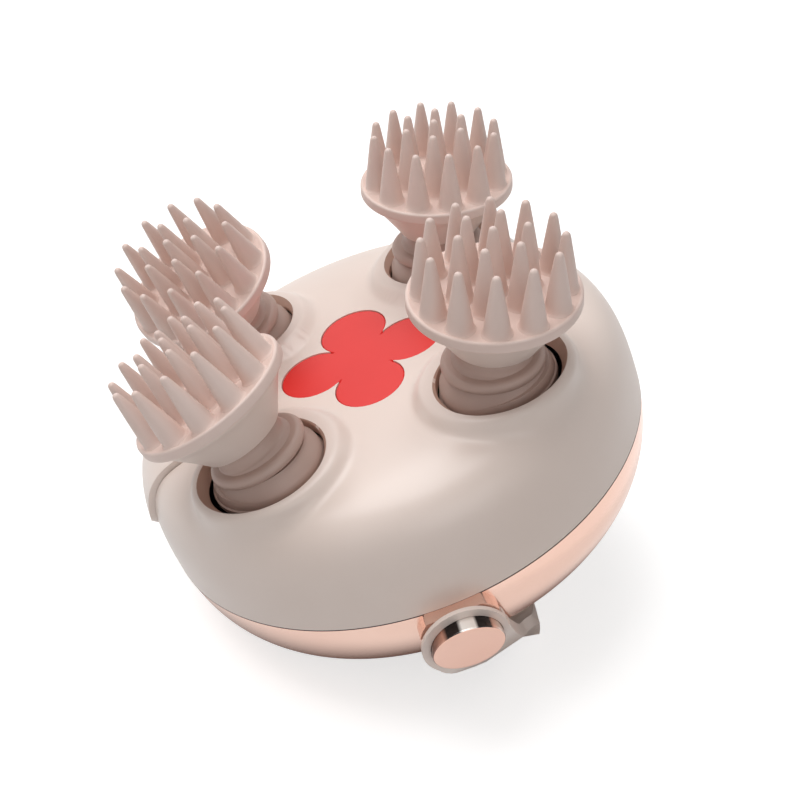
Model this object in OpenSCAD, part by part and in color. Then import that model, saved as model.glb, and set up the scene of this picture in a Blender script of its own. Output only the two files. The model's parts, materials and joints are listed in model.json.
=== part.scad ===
// Electric scalp massager: a round pebble body with four gyrating heads of soft
// fingers, a lit window on top, a bail handle under the base and a push button.
// Units are millimetres. The body is modelled upright, with its parting plane at
// z = 0, and then set down as it stands: leaning on the bail, base face tilted.

/* [Body] */
// Radius of the body at the parting plane
body_r = 55; // [54:0.5:57]
// Height of the flat top above the parting plane
dome_h = 24.2; // [23.5:0.1:25]
// Depth of the base face below the parting plane
base_depth = 22; // [21.5:0.1:23]
// Height of the metallic band below the parting plane
band_h = 16; // [15:0.25:17]
// Wall of the upper shell
shell_wall = 2.4; // [2:0.1:2.8]
// Wall of the band and of the base cover
lower_wall = 2.4; // [2:0.1:2.8]
// Lean of the body when it stands on its bail, in degrees
stand_tilt = 18.95; // [17:0.05:20]

/* [Heads] */
// Distance of a head's pivot inward from the body's radius
head_inset = 19.88; // [19.5:0.02:20.5]
// Direction of the pivots from the middle, from across toward along the bail's axis
head_angle = 46.33; // [45:0.1:48]
// Height of the pivots above the parting plane
pivot_z = 25.2; // [25:0.1:26]
// Tilt of the heads' axes from the body's axis, in degrees
head_tilt = 15.4; // [13:0.1:17]
// Radius of a head's plate
plate_r = 16.75; // [16:0.05:17.2]
// Thickness of a head's plate
plate_t = 2.1; // [1.8:0.1:2.6]
// Height of the plate's lower rim over the pivot, along the head's axis
plate_s = 17.6; // [17:0.1:18.5]
// Length of an outer finger
finger_h = 12.3; // [11:0.1:13]
// Radius of a finger at its foot
finger_foot_r = 2.55; // [2.2:0.05:2.7]
// Radius of a finger's round tip
finger_tip_r = 0.78; // [0.7:0.02:0.95]
// Radius of the outer ring of twelve fingers
ring12_r = 13.18; // [12.8:0.02:13.3]
// Radius of the inner ring of six fingers
ring6_r = 6.65; // [6.2:0.05:7]
// How much the inner ring's fingers stand higher
ring6_rise = 1.27; // [0.8:0.01:1.6]
// How much the middle finger stands higher
middle_rise = 1.77; // [1.2:0.01:2.2]
// Radius of the cup's lower edge
cup_foot_r = 8.9; // [8.5:0.1:9.5]
// Height of the cup's lower edge over the pivot
cup_foot_s = 8.1; // [8:0.1:9]

/* [Sockets and boots] */
// Radius of the hole in the shell for a head's boot
socket_r = 12.2; // [12.1:0.05:12.8]
// Height of a socket's collar over the flat top
collar_h = 2.2; // [1.8:0.1:2.6]
// Outer radius of a socket's collar
collar_r = 16.4; // [16:0.1:17]
// Radius of the boot's lower skirt
skirt_r = 11.7; // [11.4:0.05:11.8]
// Radius of the boot's round fold
fold_r = 10.4; // [10:0.05:10.8]
// Radius of the boot's neck under the cup
neck_r = 7.6; // [7:0.1:8.2]
// Share of the head's tilt that the boot's fold takes
fold_share = 0.6; // [0.4:0.05:0.8]

/* [Drive] */
// Teeth of the middle gear
sun_teeth = 32; // [30:1:34]
// Teeth of a crank's gear
crank_teeth = 24; // [22:1:25]
// Thickness of the gears
gear_t = 5; // [4:0.5:6]
// Play between meshing teeth, along the pitch circle
backlash = 0.24; // [0.2:0.02:0.4]
// Radius of a crank's pin, on which a head sits
crank_pin_r = 3.2; // [3:0.1:3.5]
// Radius of a crank's lower journal
low_journal_r = 3; // [2.5:0.1:3.5]
// Radius of a crank's upper journal
top_journal_r = 5; // [4.5:0.1:5.5]
// Thickness of the chassis plate and of the bearing plate
plate_metal_t = 2.4; // [2:0.1:2.8]
// Radius of the motor
motor_r = 12.2; // [11:0.1:12.5]
// Radius of the battery cell
cell_r = 7; // [6:0.1:7.2]
// Length of the battery cell
cell_l = 49; // [44:0.5:50]

/* [Window and button] */
// Radius of each lobe of the four-lobed window
lobe_r = 7.65; // [7.6:0.05:8]
// Distance of the lobes' centres from the middle
lobe_d = 10.7; // [10.2:0.05:10.7]
// Width of the power button
button_w = 22; // [20:0.5:24]
// Length of the power button, up the shoulder
button_l = 22; // [20:0.5:22.5]
// How far the power button stands proud of the shell
button_proud = 1.2; // [0.8:0.1:1.6]

/* [Bail handle] */
// Distance of the bail's pivots from the parting plane, downward
bail_z = 7.8; // [7.5:0.1:8.5]
// Outer radius of the bail's eyes
eye_r = 8.8; // [8.6:0.05:9.2]
// Radius of the bore in the bail's eyes
eye_bore_r = 7.35; // [7.2:0.05:7.5]
// How far an eye's outer face stands proud of the body's radius
eye_proud = 3.2; // [3.1:0.1:4]
// Lean of an eye's outer face, in degrees
eye_lean = 7; // [4:0.5:8]
// How far a stud's cap stands proud of the eye, at its middle
cap_proud = 1.7; // [1.5:0.1:2.5]
// Lean of a cap's face, in degrees
cap_lean = 18; // [15:0.5:22]
// Thickness of the bail
bail_t = 2.9; // [2.6:0.1:3]
// Depth of the bail's bar under its pivots
bail_drop = 30.6; // [30:0.1:31.5]
// Lean of the bail's arms toward the middle, in degrees
arm_lean = 38; // [34:0.5:39]
// Width of an arm where it meets the bar
arm_foot_w = 7.6; // [7:0.1:9]
// Width of the bar at its middle
bar_w = 13; // [11:0.5:15]
// Swing of the bail away from straight down, in degrees
bail_swing = 18; // [15:0.5:22]

/* [Hidden] */
$fn = 96;

// Clearances
fit_play = 0.05;      // running fit of a pin or a journal in its bore
seat_play = 0.3;      // between pieces that pass each other
button_play = 0.3;    // round the button in its pocket

// Colours
shell_col = [0.93, 0.87, 0.83];
rose_col = [0.78, 0.52, 0.44];
red_col = [0.86, 0.07, 0.05];
steel_col = [0.72, 0.73, 0.75];
nylon_col = [0.92, 0.92, 0.88];
board_col = [0.10, 0.36, 0.20];
dark_col = [0.16, 0.16, 0.17];

// The four heads: side across, side along, and where each tilts to at rest
HEADS = [[-1, 1, -124.5], [-1, -1, 150.5], [1, 1, -11.9], [1, -1, -21.8]];
// Turn of each head's ring of twelve fingers, and of its ring of six
FINGER_TURN = [20.1, 28.6, 0.5, 17.2];
RING6_TURN = [35.1, 43.6, 15.5, 2.2];
pivot_at = body_r - head_inset;
function pivot(i) = [HEADS[i][0] * pivot_at * cos(head_angle),
                     HEADS[i][1] * pivot_at * sin(head_angle), pivot_z];
function lean_to(i) = HEADS[i][2];
function outward(i) = atan2(pivot(i)[1], pivot(i)[0]);

// Body outlines: the dome is a squared curve, the lower half a softer one
dome_power_r = 9.8;
dome_power_z = 3;
base_curve_h = base_depth + 1;
base_curve_r = body_r - 0.2;
OUTLINE_STEPS = 20;
function dome_r(z, r, h) = r * pow(1 - pow(z / h, dome_power_z), 1 / dome_power_r);
function dome_points(r, h) = [for (i = [0 : OUTLINE_STEPS])
    let (z = h * sin(90 * i / OUTLINE_STEPS)) [i == OUTLINE_STEPS ? 0 : dome_r(z, r, h), z]];
function base_r(z) = base_curve_r * pow(1 - pow(z / base_curve_h, 2), 1 / 6);
function base_points(z0, z1, inset) = [for (i = [0 : OUTLINE_STEPS])
    let (z = z0 + (z1 - z0) * i / OUTLINE_STEPS) [base_r(z) - inset, z]];

// Points along an arc, and a rectangle with round corners
function arc(c, r, a0, a1, n = 8) = [for (i = [0 : n])
    let (a = a0 + (a1 - a0) * i / n) c + r * [cos(a), sin(a)]];
function round_box(w, l, r) = concat(
    arc([w / 2 - r, l / 2 - r], r, 0, 90, 6), arc([r - w / 2, l / 2 - r], r, 90, 180, 6),
    arc([r - w / 2, r - l / 2], r, 180, 270, 6), arc([w / 2 - r, r - l / 2], r, 270, 360, 6));

// Levels of the drive, upward from the chassis plate
chassis_top = 0;
gear_z = chassis_top + 1.2;
bearing_z = gear_z + gear_t + 1.2;
bearing_top = bearing_z + plate_metal_t;
chassis_r = body_r - lower_wall - 0.9;
ledge_w = 3.5;
hub_r = 7.6;
hub_top = pivot_z - 4.2;
boot_floor = hub_top + seat_play;

// Gears: the module follows from the pivots' distance and the tooth counts
gear_centre = pivot_at;
gear_module = 2 * gear_centre / (sun_teeth + crank_teeth);
pressure = 20;
function involute_deg(r, rb) = let (t = sqrt(pow(r / rb, 2) - 1)) t * 180 / PI - atan(t);
// One tooth, from its root on one side over its tip to its root on the other
function tooth(n, turn) = let (
    rp = gear_module * n / 2, rb = rp * cos(pressure), ra = rp + gear_module * 0.95,
    rf = rp - gear_module * 1.25, r0 = max(rb, rf),
    half = 90 / n - backlash / 4 / rp * 180 / PI + involute_deg(rp, rb),
    radii = [for (k = [0 : 3]) r0 + (ra - r0) * k / 3],
    side = [for (r = radii) [r, half - involute_deg(r, rb)]],
    root_half = side[0][1],
    polar = concat([[rf, root_half + 0.5]], side))
    concat([for (k = [len(polar) - 1 : -1 : 0]) let (p = polar[len(polar) - 1 - k])
                p[0] * [cos(turn - p[1]), sin(turn - p[1])]],
           [for (k = [len(polar) - 1 : -1 : 0]) polar[k][0]
                * [cos(turn + polar[k][1]), sin(turn + polar[k][1])]]);
module gear(n, turn, h) {
    linear_extrude(h) polygon([for (i = [0 : n - 1]) each tooth(n, turn + i * 360 / n)]);
}
// The turn at which a crank's gear meshes with the middle gear
function mesh_turn(i) = outward(i) * (1 + sun_teeth / crank_teeth) + 180 + 180 / crank_teeth;

// Places a shape at a head's pivot, on the head's tilted axis or a share of it
module at_head(i, share = 1) {
    translate(pivot(i)) rotate([0, 0, lean_to(i)]) rotate([0, head_tilt * share, 0])
        rotate([0, 0, -lean_to(i)]) children();
}
module at_crank(i) {
    translate([pivot(i)[0], pivot(i)[1], 0]) children();
}

// Lays the upright body down as it stands, with the base face's middle at the origin
module standing() {
    rotate([0, -stand_tilt, 0]) translate([0, 0, base_depth]) children();
}

// ---- Housing ----

module dome_solid(grow = 0) {
    rotate_extrude() polygon(concat([[0, 0]], dome_points(body_r + grow, dome_h + grow)));
}

collar_top = dome_h + collar_h;
collar_round = 1.8;
collar_depth = 13;
collar_draft = 0.5;
mouth_shift = 1.3;    // the mouth's middle lies outward of the socket's
mouth_r = socket_r + mouth_shift + 0.2;
mouth_d = 4.6;
module collar(i) {
    at_crank(i) rotate_extrude() polygon(concat(
        [[0, dome_h - collar_depth], [collar_r + collar_draft, dome_h - collar_depth]],
        arc([collar_r - collar_round, collar_top - collar_round], collar_round, 0, 90, 6),
        [[0, collar_top]]));
}
module socket_cut(i) {
    at_crank(i) cylinder(r = socket_r, h = collar_top + 5);
    // The mouth is a cone set outward, so it opens toward the shoulder
    slope = (mouth_r - socket_r + mouth_shift + 0.4) / mouth_d;
    at_crank(i) rotate([0, 0, outward(i)]) translate([mouth_shift, 0, collar_top - mouth_d])
        cylinder(r1 = mouth_r - slope * mouth_d, r2 = mouth_r + slope * 2, h = mouth_d + 2);
}

module window_outline(grow) {
    for (a = [0 : 90 : 270]) rotate([0, 0, a]) translate([lobe_d, 0]) circle(r = lobe_r + grow);
    // The lobes' circles leave a gap in the middle; this fills it up to short of the notches
    notch = (lobe_d + sqrt(2 * pow(lobe_r, 2) - pow(lobe_d, 2))) / 2;
    square(2 * (notch - 0.6), center = true);
}

// The button slides square to the shoulder, in a pocket cut the same way
button_at = [-48.2, 0, 18.3];
button_lean = 47.5;
module button_prism(grow, h0, h1) {
    translate(button_at) rotate([0, -button_lean, 0]) translate([0, 0, h0])
        linear_extrude(h1 - h0)
            polygon(round_box(button_l + 2 * grow, button_w + 2 * grow, 4.5 + grow));
}

module upper_shell() {
    color(shell_col) difference() {
        union() {
            dome_solid();
            for (i = [0 : 3]) collar(i);
        }
        translate([0, 0, -1]) rotate_extrude() polygon(concat([[0, 0]],
            [[body_r - shell_wall, 0]],
            dome_points(body_r - shell_wall, dome_h - shell_wall + 1)));
        for (i = [0 : 3]) socket_cut(i);
        linear_extrude(dome_h + 1) window_outline(0);
        button_prism(button_play, -9, 9);
    }
}

port_turn = 135;
module port_place() {
    rotate([0, 0, port_turn]) translate([body_r - lower_wall - 4.4, 0, -band_h / 2]) children();
}
port_w = 8.94;
port_h = 3.26;
port_d = 6.5;
module slot_x(w, h, d) {
    rotate([90, 0, 90]) linear_extrude(d) polygon(round_box(w, h, h / 2 - 0.01));
}

// The pad behind each eye keeps to the sector that the leaning arms never cross
eye_face = body_r + eye_proud;
pad_r = eye_r + 1.2;
pad_face = eye_face - bail_t - seat_play;
pad_half = 60;
module stud_pad() {
    intersection() {
        translate([0, -(body_r - lower_wall / 2), -bail_z]) rotate([90, 0, 0])
            cylinder(r = pad_r, h = pad_face - body_r + lower_wall / 2);
        translate([0, 0, -bail_z]) rotate([90, 0, 0]) linear_extrude(pad_face + 1)
            polygon([[0, 0], 30 * [sin(-pad_half), cos(pad_half)], [0, 34],
                     30 * [sin(pad_half), cos(pad_half)]]);
        translate([0, 0, -40]) cylinder(r = pad_face + 2, h = 40);
    }
}
stud_shank_r = 4;
stud_seat = body_r - lower_wall - 0.2;

module rose_band() {
    color(rose_col) difference() {
        union() {
            rotate_extrude() polygon(concat(base_points(0, -band_h, 0),
                [for (p = base_points(-band_h, 0, lower_wall)) p]));
            // Ledge that carries the chassis plate
            translate([0, 0, chassis_top - plate_metal_t - 2.5]) rotate_extrude()
                polygon([[chassis_r - ledge_w, 0], [body_r - lower_wall / 2 - 1.2, -2],
                         [body_r - lower_wall / 2 - 1.2, 2.5], [chassis_r - ledge_w, 2.5]]);
            for (s = [0, 1]) mirror([0, s, 0]) stud_pad();
        }
        for (s = [0, 1]) mirror([0, s, 0]) translate([0, 0, -bail_z]) rotate([90, 0, 0]) {
            cylinder(r = stud_shank_r, h = body_r + 10);
            translate([0, 0, stud_seat]) cylinder(r = eye_bore_r, h = 20);
        }
        port_place() slot_x(port_w + 0.2, port_h + 0.2, 12);
    }
}

screw_at = 38;
screw_boss_r = 3.6;
screw_r = 1.5;
screw_head_r = 2.8;
floor_top = lower_wall - base_depth;
board_post_r = 2.2;
board_z = floor_top + 4;
board_at = [24.5, 0];
board_w = 18;
board_l = 40;
module base_cover() {
    color(shell_col) difference() {
        union() {
            difference() {
                rotate_extrude() polygon(concat([[0, -band_h]], base_points(-band_h, -base_depth, 0),
                    [[0, -base_depth]]));
                translate([0, 0, floor_top]) rotate_extrude() polygon([[0, 0],
                    [base_r(floor_top) - lower_wall - 1.2, 0],
                    [base_r(-band_h) - lower_wall - 0.2, -band_h - floor_top + 0.01],
                    [0, -band_h - floor_top + 0.01]]);
            }
            for (a = [0 : 90 : 270]) rotate([0, 0, a]) translate([screw_at, 0, floor_top - 1])
                cylinder(r = screw_boss_r, h = chassis_top - plate_metal_t - floor_top + 1);
            for (sx = [-1, 1], sy = [-1, 1])
                translate([board_at[0] + sx * (board_w / 2 - 3), sy * (board_l / 2 - 3), floor_top - 1])
                    cylinder(r = board_post_r, h = board_z - floor_top + 1);
            // Cradle ribs under the cell
            for (y = [-1, 1]) translate([-cell_at - cell_r, y * cell_l / 4 - 1, floor_top - 1])
                cube([2 * cell_r, 2, 4]);
        }
        for (a = [0 : 90 : 270]) rotate([0, 0, a]) translate([screw_at, 0, -base_depth - 1]) {
            cylinder(r = screw_r + 0.1, h = base_depth + 2);
            cylinder(r = screw_head_r + 0.2, h = 4);
        }
        translate([-cell_at, cell_l / 2 + 1, cell_z]) rotate([90, 0, 0])
            cylinder(r = cell_r + 0.05, h = cell_l + 2);
    }
}

module base_screws() {
    color(steel_col) for (a = [0 : 90 : 270]) rotate([0, 0, a])
        translate([screw_at, 0, -base_depth + 3]) {
            translate([0, 0, -1.8]) difference() {
                cylinder(r = screw_head_r, h = 1.8);
                for (t = [0, 90]) rotate([0, 0, t]) translate([-1.6, -0.35, -1]) cube([3.2, 0.7, 1.9]);
            }
            cylinder(r = screw_r, h = base_depth - 3 - 0.6);
        }
}

// ---- Window, light and button ----

window_top = dome_h - 0.15;
window_flange = 1.2;
module light_window() {
    inner_top = dome_h - shell_wall;
    color(red_col) union() {
        translate([0, 0, inner_top - 0.4]) linear_extrude(window_top - inner_top + 0.4)
            window_outline(-0.05);
        translate([0, 0, inner_top - window_flange - 0.35]) linear_extrude(window_flange)
            window_outline(1.2);
    }
}

light_board_r = 18;
light_board_z = dome_h - shell_wall - window_flange - 0.35 - 3.4;
module light_board() {
    color(board_col) translate([0, 0, light_board_z]) {
        cylinder(r = light_board_r, h = 1.6);
        for (a = [0 : 90 : 270]) rotate([0, 0, a]) translate([lobe_d - 1.8, -1.8, 1.6]) cube([3.6, 3.6, 1.3]);
    }
}

button_travel = 0.8;
module power_button() {
    color(shell_col) difference() {
        intersection() {
            button_prism(0, -7, 9);
            dome_solid(button_proud);
        }
        dome_solid(-shell_wall - 0.6);
    }
}

switch_drop = 4.7;    // from the button's middle down to the switch
module button_switch() {
    color(dark_col) {
        translate(button_at) rotate([0, -button_lean, 0]) translate([0, 0, -switch_drop]) {
            translate([-3, -3, -2]) cube([6, 6, 3.6]);
            cylinder(r = 1.7, h = 2.4);
        }
        // Post on the bearing plate
        translate([button_at[0] + 2.2, -2, bearing_top + 0.02])
            cube([3, 4, button_at[2] - switch_drop - bearing_top]);
    }
}

// ---- Drive ----

post_at = 44;
light_post_at = 13;
cell_at = motor_r + 1.4 + cell_r;
cell_z = floor_top + 1.2 + cell_r;
module chassis_plate() {
    color(steel_col) difference() {
        union() {
            translate([0, 0, chassis_top - plate_metal_t]) cylinder(r = chassis_r, h = plate_metal_t);
            for (a = [0 : 90 : 270]) rotate([0, 0, a]) translate([post_at, 0, chassis_top - 1])
                cylinder(r = 3, h = bearing_z - chassis_top + 1);
        }
        for (i = [0 : 3]) at_crank(i) translate([0, 0, -10]) cylinder(r = low_journal_r + fit_play, h = 20);
        translate([0, 0, -10]) cylinder(r = 4, h = 20);
        for (a = [0 : 90 : 270]) rotate([0, 0, a]) translate([screw_at, 0, -10])
            cylinder(r = screw_r + 0.02, h = 20);
    }
}

module bearing_plate() {
    color(steel_col) difference() {
        union() {
            translate([0, 0, bearing_z]) cylinder(r = post_at + 3, h = plate_metal_t);
            for (a = [0 : 90 : 270]) rotate([0, 0, a + 45]) translate([light_post_at, 0, bearing_top - 1])
                cylinder(r = 2, h = light_board_z - bearing_top + 1);
        }
        for (i = [0 : 3]) at_crank(i) translate([0, 0, bearing_z - 5])
            cylinder(r = top_journal_r + fit_play, h = 20);
        for (a = [0 : 90 : 270]) rotate([0, 0, a + 45]) translate([post_at + 8, 0, bearing_z - 5])
            cylinder(r = 9, h = 20);
    }
}

motor_shaft_r = 1.5;
module drive_motor() {
    color(steel_col) {
        translate([0, 0, floor_top + 0.3])
            cylinder(r = motor_r, h = chassis_top - plate_metal_t - floor_top - 0.3);
        translate([0, 0, chassis_top - plate_metal_t - 1])
            cylinder(r = motor_shaft_r, h = bearing_z - 0.4 + plate_metal_t + 1);
        translate([0, 0, chassis_top - plate_metal_t - 1]) cylinder(r = 3.8, h = plate_metal_t + 1);
    }
}

module drive_gear() {
    color(nylon_col) difference() {
        union() {
            translate([0, 0, gear_z]) gear(sun_teeth, 0, gear_t);
            translate([0, 0, chassis_top + 0.3]) cylinder(r = 4.5, h = bearing_z - 0.6 - chassis_top);
        }
        cylinder(r = motor_shaft_r + fit_play, h = 40);
        for (a = [0 : 60 : 300]) rotate([0, 0, a]) translate([11, 0, 0]) cylinder(r = 3.4, h = 30);
    }
}

module battery_cell() {
    color(dark_col) translate([-cell_at, cell_l / 2, cell_z]) rotate([90, 0, 0]) {
        cylinder(r = cell_r, h = cell_l);
        translate([0, 0, -1]) cylinder(r = 2.6, h = 1.5);
    }
}

module circuit_board() {
    color(board_col) {
        translate([board_at[0] - board_w / 2, -board_l / 2, board_z]) cube([board_w, board_l, 1.6]);
        translate([board_at[0] - 4, -4, board_z + 1.6]) cube([8, 8, 1.4]);
        translate([board_at[0] - 3, 9, board_z + 1.6]) cube([6, 5, 2]);
        translate([board_at[0], -13, board_z + 1.6]) cylinder(r = 3, h = 5);
    }
}

module charging_port() {
    color(steel_col) port_place() difference() {
        translate([-2, 0, 0]) slot_x(port_w, port_h, port_d + 1);
        translate([-0.6, 0, 0]) slot_x(port_w - 0.6, port_h - 0.6, 12);
    }
}

module crank(i) {
    color(nylon_col) union() {
        at_crank(i) {
            translate([0, 0, chassis_top - plate_metal_t + 0.1])
                cylinder(r = low_journal_r, h = gear_z + plate_metal_t);
            translate([0, 0, gear_z]) gear(crank_teeth, mesh_turn(i), gear_t);
            translate([0, 0, chassis_top + 0.3]) cylinder(r = 5.5, h = gear_z + 0.5);
            translate([0, 0, gear_z]) cylinder(r = top_journal_r, h = bearing_top - gear_z + 0.6);
            translate([0, 0, bearing_top + 0.3]) cylinder(r = hub_r, h = hub_top - bearing_top - 0.3);
            translate([0, 0, hub_top - 0.5])
                cylinder(r1 = hub_r - 2.5, r2 = crank_pin_r + 0.2, h = pivot_z - hub_top);
        }
        at_head(i) translate([0, 0, -2.5]) cylinder(r = crank_pin_r, h = plate_s - 2 + 0.5);
    }
}

// ---- Heads ----

// The boot is silicone: a skirt in the socket, one round fold, and a neck up to the cup.
// It turns with the crank, which looks the same as the real one's bending.
fold_h = 2.6;
skirt_top = 1;        // height of the skirt's top over the pivot
fold_s = 3.6;         // height of the fold's middle over the pivot
module boot(i) {
    color(shell_col) difference() {
        union() {
            // Skirt, upright in the socket, and the cone that leads from it to the fold
            at_head(i, 0) rotate_extrude() polygon([[0, -2.2], [skirt_r - 0.5, -2.2],
                [skirt_r, -1.7], [skirt_r, 0.2], [skirt_r - 0.75, skirt_top], [0, skirt_top]]);
            at_head(i, fold_share / 2) rotate_extrude() polygon(
                [[0, 0], [skirt_r - 1, 0], [fold_r - 1.8, fold_s - 0.9], [0, fold_s - 0.9]]);
            at_head(i, fold_share) rotate_extrude() polygon(concat([[0, fold_s - fold_h / 2]],
                arc([fold_r - fold_h / 2, fold_s], fold_h / 2, -90, 90, 8)));
            at_head(i) rotate_extrude() polygon(concat(
                [[0, 3.4], [neck_r + 1.2, 3.4]],
                arc([neck_r + 1.4, 6.2], 1.4, 240, 180, 4),
                [[neck_r, cup_foot_s - seat_play], [0, cup_foot_s - seat_play]]));
        }
        at_head(i) translate([0, 0, -4]) cylinder(r = crank_pin_r + seat_play, h = 20);
        at_crank(i) translate([0, 0, hub_top - 1])
            cylinder(r1 = hub_r + 0.6, r2 = crank_pin_r + 0.9, h = pivot_z - hub_top + 1.5);
    }
}

module head_cup(i) {
    rim_s = plate_s;
    color(shell_col) at_head(i) rotate_extrude() polygon(concat(
        [[crank_pin_r + fit_play, cup_foot_s], [cup_foot_r - 0.5, cup_foot_s]],
        arc([cup_foot_r - 0.5, cup_foot_s + 0.5], 0.5, -90, -30, 2),
        [[plate_r - 2.2, rim_s - 1.2], [plate_r - 1.1, rim_s - 0.5], [plate_r - 1.0, rim_s]],
        [[0, rim_s], [0, rim_s - 1.2], [crank_pin_r + fit_play, rim_s - 1.2]]));
}

finger_fillet = 0.6;
module finger(h) {
    rotate_extrude($fn = 20) polygon(concat(
        [[0, -0.6], [finger_foot_r + finger_fillet, -0.6], [finger_foot_r, 0.6]],
        [[finger_foot_r * 0.88, h * 0.22], [finger_foot_r * 0.66, h * 0.5]],
        arc([0, h - finger_tip_r], finger_tip_r, 12, 90, 3)));
}
module massage_head(i) {
    face = plate_s + plate_t;
    color(shell_col) at_head(i) union() {
        rotate_extrude() polygon(concat(
            [[0, plate_s], [plate_r - 0.35, plate_s]],
            arc([plate_r - 0.5, plate_s + 0.5], 0.5, -80, 0, 3),
            arc([plate_r - 0.6, face - 0.35], 0.6, 10, 90, 4),
            [[plate_r - 0.85, face + 0.25], [plate_r - 1.05, face], [0, face]]));
        translate([0, 0, face]) finger(finger_h + middle_rise);
        for (a = [0 : 60 : 300]) rotate([0, 0, a + RING6_TURN[i]]) translate([ring6_r, 0, face])
            finger(finger_h + ring6_rise);
        for (a = [0 : 30 : 330]) rotate([0, 0, a + FINGER_TURN[i]]) translate([ring12_r, 0, face])
            finger(finger_h);
    }
}

// ---- Bail handle and its studs ----

bend_r = 11;
corner_r = 8;
eye_rise = 0.5;       // an eye's outline sits this much off its bore
eye_top_t = (eye_r + eye_rise) * tan(eye_lean);
// Outline of the bail seen along the body's x axis: half of it, offset by d
function bail_half(d) =
    let (c1 = [eye_face - bail_t / 2 - bend_r, 0],
         a1 = c1 + bend_r * [cos(arm_lean), -sin(arm_lean)],
         run = (bail_drop - corner_r + a1[1] + corner_r * sin(arm_lean)) / cos(arm_lean),
         c2 = a1 - run * [sin(arm_lean), cos(arm_lean)]
              - corner_r * [cos(arm_lean), -sin(arm_lean)])
    concat([[eye_face - bail_t / 2 + d + (d > 0 ? eye_top_t : 0), eye_r + 1],
            [eye_face - bail_t / 2 + d + (d > 0 ? eye_top_t : 0), 0]],
           arc(c1, bend_r + d, 0, -arm_lean, 4), arc(c2, corner_r + d, -arm_lean, -90, 6));
function turned(pts) = [for (k = [len(pts) - 1 : -1 : 0]) pts[k]];
function mirrored(pts) = [for (p = turned(pts)) [-p[0], p[1]]];
module bail_upright() {
    difference() {
        bail_strap();
        // An eye's outer face leans, so that its foot is thinner than its top
        for (s = [0, 1]) mirror([0, s, 0]) translate([0, -eye_face, 0]) rotate([eye_lean, 0, 0])
            translate([-20, -20, -eye_r]) cube([40, 20, 40]);
    }
}
module bail_strap() {
    intersection() {
        rotate([90, 0, 90]) translate([0, 0, -30]) linear_extrude(60) polygon(concat(
            bail_half(bail_t / 2), mirrored(bail_half(bail_t / 2)),
            turned(mirrored(bail_half(-bail_t / 2))), turned(bail_half(-bail_t / 2))));
        union() {
            // Arms seen from the front: a round eye that tapers to the bar
            rotate([90, 0, 0]) translate([0, 0, -eye_face - 5]) linear_extrude(2 * eye_face + 10)
                union() {
                    translate([0, eye_rise]) circle(r = eye_r);
                    polygon([[-eye_r * cos(18), -eye_r * sin(18)], [eye_r * cos(18), -eye_r * sin(18)],
                             [arm_foot_w / 2, -bail_drop + corner_r], [arm_foot_w / 2, -bail_drop - 4],
                             [-arm_foot_w / 2, -bail_drop - 4], [-arm_foot_w / 2, -bail_drop + corner_r]]);
                }
            // Bar seen from below: wider at its middle
            translate([0, 0, -bail_drop - 4]) linear_extrude(corner_r + 2)
                polygon(concat(bar_edge(), [for (p = bar_edge()) -p]));
        }
    }
}
bar_half_l = 37;
function bar_edge() = [for (k = [-8 : 8]) let (y = bar_half_l * k / 8)
    [arm_foot_w / 2 + (bar_w - arm_foot_w) / 2 * pow(cos(90 * k / 8), 0.8), y]];

// The level that the base's rounding and the bar stand on, under the base face's middle
rest_floor = min([for (p = base_points(-band_h, -base_depth, 0))
    -p[0] * sin(stand_tilt) + (p[1] + base_depth) * cos(stand_tilt)]);
module below_floor() {
    translate([0, 0, -base_depth]) rotate([0, stand_tilt, 0]) translate([0, 0, rest_floor - 50])
        cube([200, 200, 100], center = true);
}
module at_bail() {
    translate([0, 0, -bail_z]) rotate([0, -bail_swing, 0]) children();
}
module bail_handle() {
    color(shell_col) difference() {
        at_bail() difference() {
            bail_upright();
            for (s = [0, 1]) mirror([0, s, 0]) translate([0, -30, 0]) rotate([90, 0, 0])
                cylinder(r = eye_bore_r, h = 40);
        }
        below_floor();
    }
}

// A stud carries an eye on its journal, whose polished end faces a little downward
bail_play = 0.07;
module stud() {
    color(rose_col) translate([0, 0, -bail_z]) {
        rotate([90, 0, 0]) translate([0, 0, stud_seat - 5]) cylinder(r = stud_shank_r - 0.03, h = 5.5);
        difference() {
            rotate([90, 0, 0]) translate([0, 0, stud_seat]) cylinder(r = eye_bore_r - bail_play, h = 16);
            translate([0, -eye_face - cap_proud, 0]) rotate([cap_lean, 0, 0])
                translate([-20, -20, -30]) cube([40, 20, 60]);
        }
    }
}
module stud_near() { stud(); }
module stud_far() { mirror([0, 1, 0]) stud(); }

standing() upper_shell();
standing() rose_band();
standing() base_cover();
standing() light_window();
standing() light_board();
standing() power_button();
standing() button_switch();
standing() chassis_plate();
standing() bearing_plate();
standing() drive_motor();
standing() drive_gear();
standing() battery_cell();
standing() circuit_board();
standing() charging_port();
standing() base_screws();
standing() stud_near();
standing() stud_far();
standing() bail_handle();
standing() massage_head(0);  // massage_head_a
standing() massage_head(1);  // massage_head_b
standing() massage_head(2);  // massage_head_c
standing() massage_head(3);  // massage_head_d
standing() head_cup(0);  // head_cup_a
standing() head_cup(1);  // head_cup_b
standing() head_cup(2);  // head_cup_c
standing() head_cup(3);  // head_cup_d
standing() boot(0);  // boot_a
standing() boot(1);  // boot_b
standing() boot(2);  // boot_c
standing() boot(3);  // boot_d
standing() crank(0);  // crank_a
standing() crank(1);  // crank_b
standing() crank(2);  // crank_c
standing() crank(3);  // crank_d
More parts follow.
